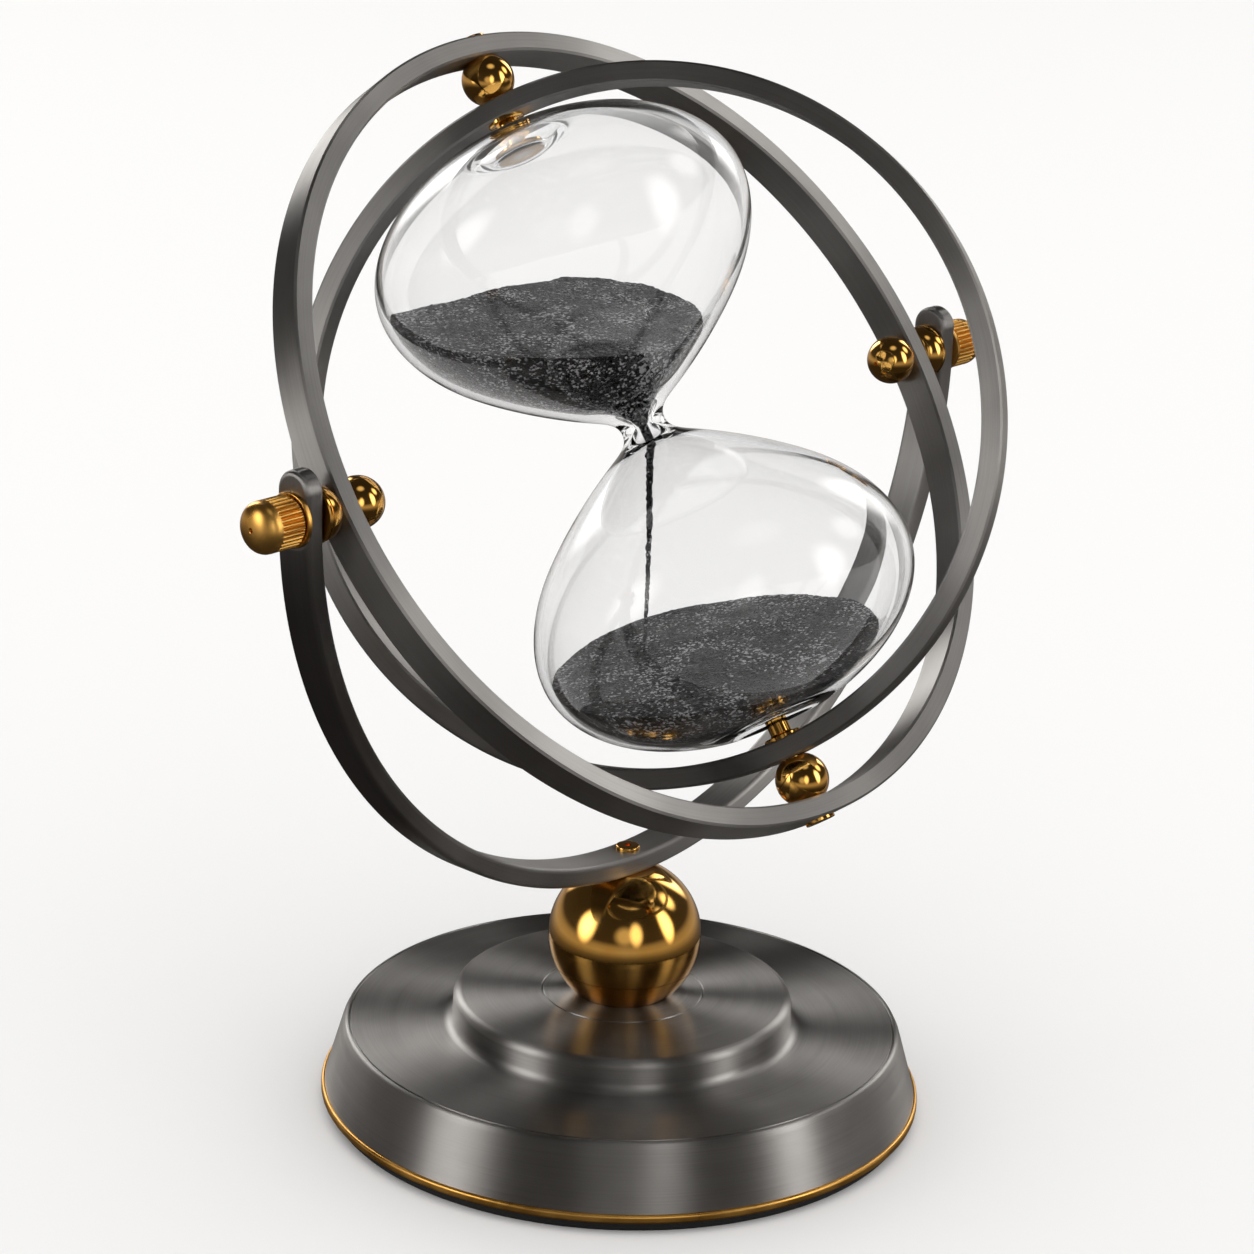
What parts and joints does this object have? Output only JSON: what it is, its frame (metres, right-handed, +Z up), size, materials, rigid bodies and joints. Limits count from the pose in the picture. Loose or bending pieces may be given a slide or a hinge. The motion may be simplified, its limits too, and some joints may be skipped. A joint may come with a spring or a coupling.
{
  "type": "gimbal hourglass",
  "caption": "Sand-filled glass hourglass held in turning rings on a yoke, with knurled clamp knobs and a weighted round base.",
  "frame": {"origin": "centre of the underside of the foot", "axes": "+Z up; X along the yoke pivots and the clamp knobs; the outer ring leans back towards +Y at the top"},
  "size_m": [0.2894, 0.1834, 0.3012],
  "materials": {
    "gunmetal_steel": "flat bar rolled to a ring, brushed along its length and blackened to a warm dark grey",
    "gunmetal_base": "spun steel, brushed in circles and blackened to a warm dark grey",
    "cast_iron": "as cast",
    "zinc_steel": "zinc plated",
    "black_rubber": "moulded, matt",
    "clear_silicone": "translucent, smooth",
    "clear_glass": "blown borosilicate, clear",
    "black_sand": "fine black sand with glittering grains",
    "satin_brass": "turned and knurled, satin",
    "polished_brass": "turned and polished to a mirror"
  },
  "bodies": {
    "base": {"base_ball": "polished_brass", "base_ballast": "cast_iron", "base_bolt": "zinc_steel", "base_bolt_washer": "zinc_steel", "base_foot_pad": "black_rubber", "base_plinth": "gunmetal_base", "base_shell": "gunmetal_base", "base_trim_ring": "polished_brass", "knob_washer_left": "satin_brass", "knob_washer_right": "satin_brass", "yoke": "gunmetal_steel", "yoke_bush_left": "satin_brass", "yoke_bush_right": "satin_brass", "yoke_screw": "polished_brass"},
    "outer_ring": {"ball_nut_left": "polished_brass", "ball_nut_right": "polished_brass", "dome_spacer_left": "polished_brass", "dome_spacer_right": "polished_brass", "outer_ring": "gunmetal_steel", "pivot_screw_lower": "polished_brass", "pivot_screw_upper": "polished_brass", "pivot_stud_left": "polished_brass", "pivot_stud_right": "polished_brass", "spacer_ball_lower": "polished_brass", "spacer_ball_upper": "polished_brass"},
    "inner_ring": {"glass": "clear_glass", "glass_pad_lower": "clear_silicone", "glass_pad_upper": "clear_silicone", "glass_seat_lower": "polished_brass", "glass_seat_upper": "polished_brass", "inner_ring": "gunmetal_steel", "sand_lower": "black_sand", "sand_stream": "black_sand", "sand_upper": "black_sand"},
    "knob_left": {"knob_left": "satin_brass"},
    "knob_right": {"knob_right": "satin_brass"}
  },
  "joints": [
    {"name": "outer_ring_tilt", "type": "hinge", "parent": "base", "child": "outer_ring", "pos_m": [0, 0, 0.20265], "axis": [1, 0, 0], "continuous": true},
    {"name": "inner_ring_turn", "type": "hinge", "parent": "outer_ring", "child": "inner_ring", "pos_m": [0, 0, 0.20265], "axis": [0, 0.5878, 0.809], "continuous": true},
    {"name": "knob_left_turn", "type": "hinge", "parent": "outer_ring", "child": "knob_left", "pos_m": [-0.136, 0, 0.20265], "axis": [-1, 0, 0], "range_deg": [0, 360]},
    {"name": "knob_right_turn", "type": "hinge", "parent": "outer_ring", "child": "knob_right", "pos_m": [0.136, 0, 0.20265], "axis": [1, 0, 0], "range_deg": [0, 360]}
  ]
}
